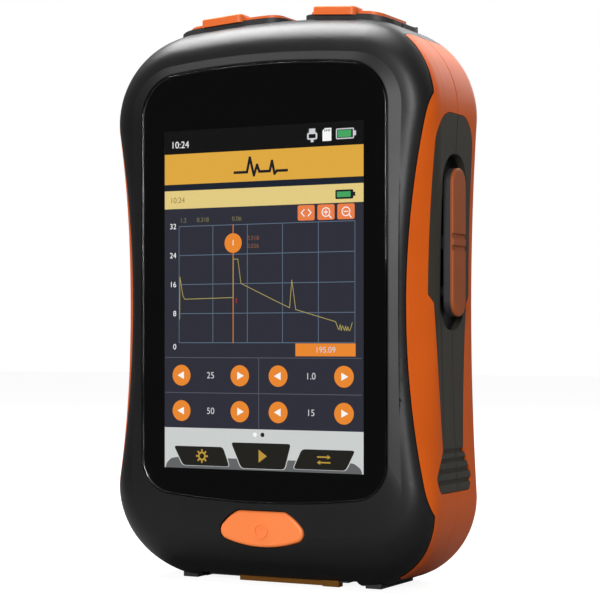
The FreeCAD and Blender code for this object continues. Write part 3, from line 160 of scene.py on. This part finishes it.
# The display's picture: flat shapes in thin layers between the panel's face and the glass.
# Sizes are in millimetres, X to the right and Z up.
panelFace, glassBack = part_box("lcd_panel")[0][1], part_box("front_glass")[1][1]
layerStep = (glassBack - panelFace) / 16
inks = {
    "inkBlack": "020202", "inkAmber": "E5AD40", "inkNavy": "131C2C", "inkSand": "E9D186",
    "inkField": "2B2C38", "inkDivider": "585B68", "inkTrace": "AE9F5C", "inkCursor": "C57A3A",
    "inkMarker": "F08B2E", "inkIcon": "F0824A", "inkWhite": "FFFFFF", "inkPale": "D5D6DB",
    "inkBrown": "8E7A48", "inkOlive": "7E7A52", "inkRust": "8A5A40", "inkRed": "C03030",
    "inkGreen": "45A862", "inkShade": "17181C", "inkSilver": "D1D5D4", "inkHump": "646668",
    "inkKey": "1B1A15", "inkGold": "BE983C", "inkGrid": "5F7286",
}
inkNames = list(inks)
art = {"points": [], "faces": [], "inks": []}


def screenInk(name):
    # a lit patch of the panel: it shines in its own colour and reflects nothing itself
    return newMaterial(name, "000000", 0.6, Emission_Color=linearColour(inks[name]), Emission_Strength=1.0,
                       Specular_IOR_Level=0.0)


def drawFlat(outline, ink, layer):
    start = len(art["points"])
    level = panelFace + (layer + 1) * layerStep
    art["points"] += [(x * mm, level, z * mm) for x, z in outline]
    art["faces"].append(list(range(start, start + len(outline))))
    art["inks"].append(inkNames.index(ink))


def boxCorners(left, low, right, high):
    return [(left, low), (right, low), (right, high), (left, high)]


def drawBox(left, low, right, high, ink, layer):
    drawFlat(boxCorners(left, low, right, high), ink, layer)


def discOutline(x, z, radius, count=36):
    turns = [2 * math.pi * i / count for i in range(count)]
    return [(x + radius * math.cos(turn), z + radius * math.sin(turn)) for turn in turns]


def roundOutline(corners, radius, steps=5):
    # each corner becomes a short curve between two points set back from it
    outline = []
    for i, corner in enumerate(corners):
        here = Vector(corner)
        before, after = Vector(corners[i - 1]) - here, Vector(corners[(i + 1) % len(corners)]) - here
        start, end = here + before.normalized() * radius, here + after.normalized() * radius
        for step in range(steps + 1):
            share = step / steps
            rest = 1 - share
            outline.append(tuple(start * rest ** 2 + here * 2 * share * rest + end * share ** 2))
    return outline


def drawStroke(points, width, ink, layer):
    # a line of even width: one quad for each stretch, its ends a little past the joints
    for start, end in zip(points, points[1:]):
        run = Vector(end) - Vector(start)
        along = run.normalized() * width * 0.35
        side = Vector((-run.y, run.x)).normalized() * width / 2
        low, high = Vector(start) - along, Vector(end) + along
        drawFlat([tuple(low - side), tuple(high - side), tuple(high + side), tuple(low + side)], ink, layer)


def drawRing(x, z, radius, width, ink, layer):
    outer, inner = discOutline(x, z, radius), discOutline(x, z, radius - width)
    for i in range(len(outer)):
        j = (i + 1) % len(outer)
        drawFlat([inner[i], outer[i], outer[j], inner[j]], ink, layer)


def drawDigits(text, x, z, high, ink, layer, align="LEFT"):
    # plain digits, filled flat; x is where the line starts, is centred or ends
    curve = bpy.data.curves.new("digits", "FONT")
    curve.body, curve.size, curve.align_x = text, high / 0.7, align
    holder = bpy.data.objects.new("digits", curve)
    mesh = bpy.data.meshes.new_from_object(holder)
    for face in mesh.polygons:
        drawFlat([(x + mesh.vertices[i].co.x, z + mesh.vertices[i].co.y) for i in face.vertices], ink, layer)
    bpy.data.objects.remove(holder)


view = {"half": 31.35, "low": 32.2, "top": 127.5}
bars = {"status": 121.0, "title": 112.4, "gap": 110.6, "note": 105.5, "keys": 43.6}
drawBox(-view["half"], bars["status"], view["half"], view["top"], "inkBlack", 0)
drawBox(-view["half"], bars["title"], view["half"], bars["status"], "inkAmber", 0)
drawBox(-view["half"], bars["gap"], view["half"], bars["title"], "inkNavy", 0)
drawBox(-view["half"], bars["note"], view["half"], bars["gap"], "inkSand", 0)
drawBox(-view["half"], bars["keys"], view["half"], bars["note"], "inkField", 0)
drawBox(-view["half"], view["low"], view["half"], bars["keys"], "inkSilver", 0)


def drawBattery(left, low, wide, high, frameInk, layer):
    wall, inset, empty, nose = 0.3, 0.5, 0.3, 0.6
    right, top = left + wide, low + high
    drawFlat(roundOutline(boxCorners(left, low, right, top), 0.35), frameInk, layer)
    drawBox(left + wall, low + wall, right - wall, top - wall, "inkShade", layer + 1)
    drawBox(left + inset, low + inset, right - inset - empty, top - inset, "inkGreen", layer + 2)
    drawBox(right, low + high * 0.28, right + nose, low + high * 0.72, frameInk, layer)


# status line: clock, plug, memory card and battery
drawDigits("10:24", -29.3, 122.7, 1.9, "inkWhite", 1)
drawFlat(roundOutline(boxCorners(14.2, 123.0, 17.3, 124.9), 0.5), "inkPale", 1)
drawBox(14.7, 123.4, 16.8, 124.5, "inkBlack", 2)
drawBox(14.8, 124.9, 16.7, 126.0, "inkPale", 1)
drawBox(15.3, 122.3, 16.2, 123.1, "inkPale", 1)
drawFlat([(18.9, 122.4), (21.6, 122.4), (21.6, 125.9), (19.6, 125.9), (18.9, 125.2)], "inkWhite", 1)
for i in range(4):
    drawBox(19.5 + 0.5 * i, 125.0, 19.75 + 0.5 * i, 125.6, "inkShade", 2)
drawBattery(23.0, 122.7, 5.4, 2.9, "inkPale", 1)

# title bar: a pulse stands where a word would be
pulseLevel = 115.0
pulse = [(-8.6, 0), (-4.6, 0), (-3.7, 4.0), (-2.4, -1.0), (-1.4, 1.9), (-0.7, 0), (2.6, 0), (3.3, 2.8),
         (4.1, -0.8), (4.8, 0), (8.0, 0)]
drawStroke([(x, pulseLevel + rise) for x, rise in pulse], 0.75, "inkShade", 1)
drawDigits("10:24", -29.6, 107.2, 1.55, "inkBrown", 1)
drawBattery(22.8, 106.5, 5.4, 2.5, "inkShade", 1)

# chart: frame, grid, axis numbers, cursor and the two readings beside it
chart = {"left": -26.6, "right": 28.7, "low": 67.6, "top": 100.5, "columns": 5, "rows": 4}
for row in range(chart["rows"] + 1):
    rowLevel = chart["low"] + (chart["top"] - chart["low"]) * row / chart["rows"]
    drawDigits(str(8 * row), -27.5, rowLevel - (1.9 if row == 0 else 0.7), 1.55, "inkWhite", 1, "RIGHT")
for text, x in (("1.2", -26.3), ("0.318", -20.8), ("0.06", -9.4)):
    drawDigits(text, x, 101.6, 1.25, "inkOlive", 1)
cursor = -9.0
drawStroke([(cursor, chart["low"]), (cursor, chart["top"])], 0.32, "inkCursor", 3)
drawFlat(discOutline(cursor, 95.4, 2.75), "inkMarker", 4)
drawDigits("1", cursor, 94.7, 1.6, "inkWhite", 5, "CENTER")
drawDigits("0.318", -4.6, 96.1, 1.2, "inkRust", 1)
drawDigits("0.026", -4.6, 93.9, 1.2, "inkRust", 1)
drawDigits("1", cursor + 0.5, 78.6, 1.5, "inkRed", 4)

# trace: launch spike, level run, step at the cursor, decay with one echo, then noise
rng = random.Random(7)
trace = [(-26.4, 74.3), (-26.3, 86.2), (-25.3, 80.8), (-24.7, 79.9), (cursor, 80.2), (cursor, 90.9),
         (-7.5, 90.9), (-6.5, 84.1), (3.4, 79.6), (8.8, 77.2), (9.5, 84.8), (10.7, 76.7), (22.9, 73.3)]
trace += [(23.6 + 0.33 * i, 72.2 + rng.uniform(-1.5, 1.3)) for i in range(14)]
drawStroke(trace, 0.2, "inkTrace", 4)

# three icons over the chart: span, magnify and shrink
icons = {"lefts": (11.3, 17.35, 23.4), "low": 101.0, "wide": 5.2, "high": 4.2, "line": 0.26, "lens": 1.3}
for i, left in enumerate(icons["lefts"]):
    x, z = left + icons["wide"] / 2, icons["low"] + icons["high"] / 2
    frameCorners = boxCorners(left, icons["low"], left + icons["wide"], icons["low"] + icons["high"])
    drawFlat(roundOutline(frameCorners, 0.6), "inkIcon", 1)
    if i == 0:
        for side in (-1, 1):
            drawStroke([(x + side * 0.6, z + 0.9), (x + side * 1.5, z), (x + side * 0.6, z - 0.9)], 0.28,
                       "inkWhite", 2)
        continue
    drawRing(x, z, icons["lens"], icons["line"], "inkWhite", 2)
    drawStroke([(x + 0.95, z - 0.9), (x + 1.6, z - 1.6)], 0.3, "inkWhite", 2)
    drawStroke([(x - 0.6, z), (x + 0.6, z)], icons["line"], "inkWhite", 2)
    if i == 1:
        drawStroke([(x, z - 0.6), (x, z + 0.6)], icons["line"], "inkWhite", 2)

# scale badge and the four settings, each between two arrow keys
drawBox(10.6, 63.9, 28.9, 67.4, "inkMarker", 2)
drawDigits("195.09", 19.8, 64.9, 1.6, "inkPale", 3, "CENTER")
for level in (63.4, 53.5):
    drawBox(-view["half"], level - 0.1, view["half"] - 0.6, level + 0.1, "inkDivider", 1)
drawBox(-1.0, bars["keys"], -0.8, 63.4, "inkDivider", 1)
settings = {58.4: ("25", "1.0"), 48.4: ("50", "15")}
for level, (leftValue, rightValue) in settings.items():
    for x, way in ((-25.8, -1), (-6.9, 1), (5.2, -1), (25.4, 1)):
        drawFlat(discOutline(x, level, 2.95), "inkMarker", 1)
        arrow = [(x + way * 1.3, level), (x - way * 0.8, level + 1.1), (x - way * 0.8, level - 1.1)]
        drawFlat(arrow, "inkWhite", 2)
    drawDigits(leftValue, -16.3, level - 0.8, 1.8, "inkPale", 1, "CENTER")
    drawDigits(rightValue, 15.3, level - 0.8, 1.8, "inkPale", 1, "CENTER")

# key bar: two page dots, a dark hump and three keys with gold pictograms
drawFlat(discOutline(-2.1, 42.1, 0.62), "inkWhite", 1)
drawFlat(discOutline(0.3, 42.1, 0.62), "inkShade", 1)
hump = [(-view["half"] + 0.2, view["low"]), (view["half"] - 0.4, view["low"]), (30.4, 33.6), (28.6, 34.9),
        (26.0, 35.3), (-26.6, 35.3), (-29.2, 34.9), (-30.6, 33.6)]
drawFlat(roundOutline(hump, 0.4), "inkHump", 1)
keys = {"left": [(-25.3, 33.0), (-10.2, 33.0), (-12.3, 38.4), (-28.3, 38.4)],
        "middle": [(-6.4, 32.7), (7.2, 32.7), (9.2, 39.8), (-9.7, 39.8)],
        "right": [(9.9, 33.0), (25.9, 33.0), (28.8, 38.5), (12.6, 38.5)]}
for corners in keys.values():
    middle = sum((Vector(corner) for corner in corners), Vector((0, 0))) / 4
    wider = [tuple(Vector(corner) + (Vector(corner) - middle).normalized() * 0.28) for corner in corners]
    drawFlat(roundOutline(wider, 1.1), "inkSilver", 2)
    drawFlat(roundOutline(corners, 1.0), "inkKey", 3)
# a gear, a start triangle and a pair of arrows
gear = {"x": -19.1, "z": 35.7, "radius": 1.25, "wide": 0.5, "teeth": 8, "from": 1.2, "to": 1.75}
drawRing(gear["x"], gear["z"], gear["radius"], gear["wide"], "inkGold", 4)
for i in range(gear["teeth"]):
    turn = 2 * math.pi * i / gear["teeth"]
    across, up = math.cos(turn), math.sin(turn)
    tooth = [(gear["x"] + across * r, gear["z"] + up * r) for r in (gear["from"], gear["to"])]
    drawStroke(tooth, gear["wide"], "inkGold", 4)
drawFlat([(-0.9, 34.4), (1.7, 36.2), (-0.9, 38.0)], "inkGold", 4)
swapKey = {"x": 19.3, "rows": ((36.5, 1), (35.0, -1)), "tail": -1.9, "neck": 1.2, "tip": 2.1, "barb": 1.1}
for level, way in swapKey["rows"]:
    tail, neck, tip, barb = [swapKey["x"] + way * swapKey[name] for name in ("tail", "neck", "tip", "barb")]
    drawStroke([(tail, level), (neck, level)], 0.4, "inkGold", 4)
    drawFlat([(tip, level), (barb, level + 0.65), (barb, level - 0.65)], "inkGold", 4)

pictureMesh = bpy.data.meshes.new("screenPicture")
pictureMesh.from_pydata(art["points"], [], art["faces"])
for name in inkNames:
    pictureMesh.materials.append(screenInk(name))
for face, ink in zip(pictureMesh.polygons, art["inks"]):
    face.material_index = ink
bm = bmesh.new()
bm.from_mesh(pictureMesh)
for face in bm.faces:
    if face.normal.y > 0:
        face.normal_flip()
bm.to_mesh(pictureMesh)
bm.free()


def addPiece(name, mesh, body):
    piece = bpy.data.objects.new(name, mesh)
    bpy.context.scene.collection.objects.link(piece)
    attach(piece, body)
    return piece


addPiece("screenPicture", pictureMesh, "case")
print("screen picture:", len(pictureMesh.polygons), "faces")


def barRow(name, count, step, bar, start, material):
    # geometry nodes: the same thin bar again and again along a line
    tree = bpy.data.node_groups.new(name + "Nodes", "GeometryNodeTree")
    inputs = {}
    for label, kind, value in (("Count", "NodeSocketInt", count), ("Start", "NodeSocketVector", start),
                               ("Step", "NodeSocketVector", step), ("Bar", "NodeSocketVector", bar)):
        socket = tree.interface.new_socket(label, in_out="INPUT", socket_type=kind)
        inputs[socket.identifier] = value
    tree.interface.new_socket("Geometry", in_out="OUTPUT", socket_type="NodeSocketGeometry")
    given = addNode(tree, "NodeGroupInput").outputs
    line = addNode(tree, "GeometryNodeMeshLine", {"Count": given["Count"], "Start Location": given["Start"],
                                                  "Offset": given["Step"]}, mode="OFFSET")
    cube = addNode(tree, "GeometryNodeMeshCube", {"Size": given["Bar"]})
    placed = addNode(tree, "GeometryNodeInstanceOnPoints",
                     {"Points": line.outputs["Mesh"], "Instance": cube.outputs["Mesh"]})
    real = addNode(tree, "GeometryNodeRealizeInstances", {"Geometry": placed.outputs["Instances"]})
    painted = addNode(tree, "GeometryNodeSetMaterial",
                      {"Geometry": real.outputs["Geometry"], "Material": material})
    addNode(tree, "NodeGroupOutput", {"Geometry": painted.outputs["Geometry"]})
    holder = bpy.data.objects.new(name, bpy.data.meshes.new(name + "Seed"))
    bpy.context.scene.collection.objects.link(holder)
    modifier = holder.modifiers.new("rows", "NODES")
    modifier.node_group = tree
    for identifier, value in inputs.items():
        modifier[identifier] = value
    bpy.context.view_layer.update()
    mesh = bpy.data.meshes.new_from_object(holder.evaluated_get(bpy.context.evaluated_depsgraph_get()))
    bpy.data.objects.remove(holder)
    return mesh


gridInk = screenInk("inkGrid")
lineWide, lineDeep = 0.2 * mm, abs(layerStep) * 0.4
wide, high = (chart["right"] - chart["left"]) * mm, (chart["top"] - chart["low"]) * mm
gridLevel = panelFace + 3 * layerStep
left, low = chart["left"] * mm, chart["low"] * mm
uprights = barRow("gridUprights", chart["columns"] + 1, (wide / chart["columns"], 0, 0),
                  (lineWide, lineDeep, high), (left, gridLevel, low + high / 2), gridInk)
levels = barRow("gridLevels", chart["rows"] + 1, (0, 0, high / chart["rows"]),
                (wide, lineDeep, lineWide), (left + wide / 2, gridLevel, low), gridInk)
for name, mesh in (("gridUprights", uprights), ("gridLevels", levels)):
    addPiece(name, mesh, "case")
print("chart grid ready")


# Camera and studio: broad soft lights on white, a dark card in front of the glass.
def addObject(name, data):
    item = bpy.data.objects.new(name, data)
    bpy.context.scene.collection.objects.link(item)
    return item


shot = {"place": (0.24353, -0.46489, 0.0678), "turned": 27.5, "sensor_width": 36, "lens": 109.94,
        "shift_y": 0.07, "clip_start": 0.01}
camera = addObject("camera", bpy.data.cameras.new("camera"))
camera.location = shot["place"]
camera.rotation_euler = (math.radians(90), 0, math.radians(shot["turned"]))
for name in ("sensor_width", "lens", "shift_y", "clip_start"):
    setattr(camera.data, name, shot[name])
bpy.context.scene.camera = camera

aim = Vector((0, 0, 0.08))
lights = {
    "topLight": {"place": (-0.25, 0.05, 0.75), "size": 0.5, "watts": 12.0},
    "sideLight": {"place": (0.55, 0.25, 0.6), "size": 0.5, "watts": 0.5},
    "frontLight": {"place": (0.28, -0.9, 0.3), "size": 0.35, "watts": 7.0},
    "rimLight": {"place": (0.1, 0.8, 0.6), "size": 0.6, "watts": 4.0},
}
for name, lamp in lights.items():
    light = addObject(name, bpy.data.lights.new(name, "AREA"))
    light.data.size, light.data.energy = lamp["size"], lamp["watts"]
    light.location = lamp["place"]
    light.rotation_euler = (aim - light.location).to_track_quat("-Z", "Y").to_euler()

# the world: white where it is looked at straight or through glass, dimmer as a light
studio = {"ambient": 0.26, "mirrored": 0.2, "floorGlow": 0.9}
world = bpy.data.worlds.new("studio")
bpy.context.scene.world = world
world.use_nodes = True
tree = world.node_tree
tree.nodes.clear()
rays = addNode(tree, "ShaderNodeLightPath").outputs
glossy = addNode(tree, "ShaderNodeMapRange", {"Value": rays["Is Glossy Ray"], "To Min": studio["ambient"],
                                              "To Max": studio["mirrored"]})
seen = addNode(tree, "ShaderNodeMath", operation="MAXIMUM")
tree.links.new(rays["Is Camera Ray"], seen.inputs[0])
tree.links.new(rays["Is Transmission Ray"], seen.inputs[1])
strength = addNode(tree, "ShaderNodeMapRange",
                   {"Value": seen.outputs[0], "To Min": glossy.outputs["Result"], "To Max": 1.0})
back = addNode(tree, "ShaderNodeBackground", {"Color": (1, 1, 1, 1), "Strength": strength.outputs["Result"]})
addNode(tree, "ShaderNodeOutputWorld", {"Surface": back.outputs["Background"]})

floorHalf = 3
floorMesh = bpy.data.meshes.new("floor")
floorMesh.from_pydata([(x, y, 0) for x, y in boxCorners(-floorHalf, -floorHalf, floorHalf, floorHalf)], [],
                      [(0, 1, 2, 3)])
floor = addObject("floor", floorMesh)
floorPaint = newMaterial("floorPaint", "7C7C7C", 0.9, Emission_Color=(1, 1, 1, 1))
tree = floorPaint.node_tree
glow = addNode(tree, "ShaderNodeMath", {0: addNode(tree, "ShaderNodeLightPath").outputs["Is Camera Ray"],
                                        1: studio["floorGlow"]}, operation="MULTIPLY")
tree.links.new(glow.outputs[0], tree.nodes["Principled BSDF"].inputs["Emission Strength"])
floor.data.materials.append(floorPaint)

# dark cards, upright ahead and to the left and flat on the floor before it, so that the glass and
# the front don't mirror the white room
card = {"middle": Vector((-0.42, -0.85, 0.1)), "wide": 1.0, "high": 0.9, "deep": 0.75}
across = Vector((card["middle"].y, -card["middle"].x, 0)).normalized() * card["wide"] / 2
up = Vector((0, 0, card["high"] / 2))
inward = Vector((-card["middle"].x, -card["middle"].y, 0)).normalized() * card["deep"]
foot = Vector((card["middle"].x, card["middle"].y, 0.001))
corners = [card["middle"] + a * across + b * up for a, b in ((-1, -1), (1, -1), (1, 1), (-1, 1))]
corners += [foot + a * across + b * inward for a, b in ((-1, 0), (1, 0), (1, 1), (-1, 1))]
flagMesh = bpy.data.meshes.new("flag")
flagMesh.from_pydata(corners, [], [(0, 1, 2, 3), (4, 5, 6, 7)])
flag = addObject("flag", flagMesh)
flag.data.materials.append(newMaterial("flagCloth", "050505", 1.0, Specular_IOR_Level=0.0,
                                       Emission_Color=(1, 1, 1, 1), Emission_Strength=0.1))
flag.visible_camera = False
flag.visible_diffuse = False
flag.visible_shadow = False
print("studio ready")

bpy.context.scene.view_settings.view_transform = "Standard"
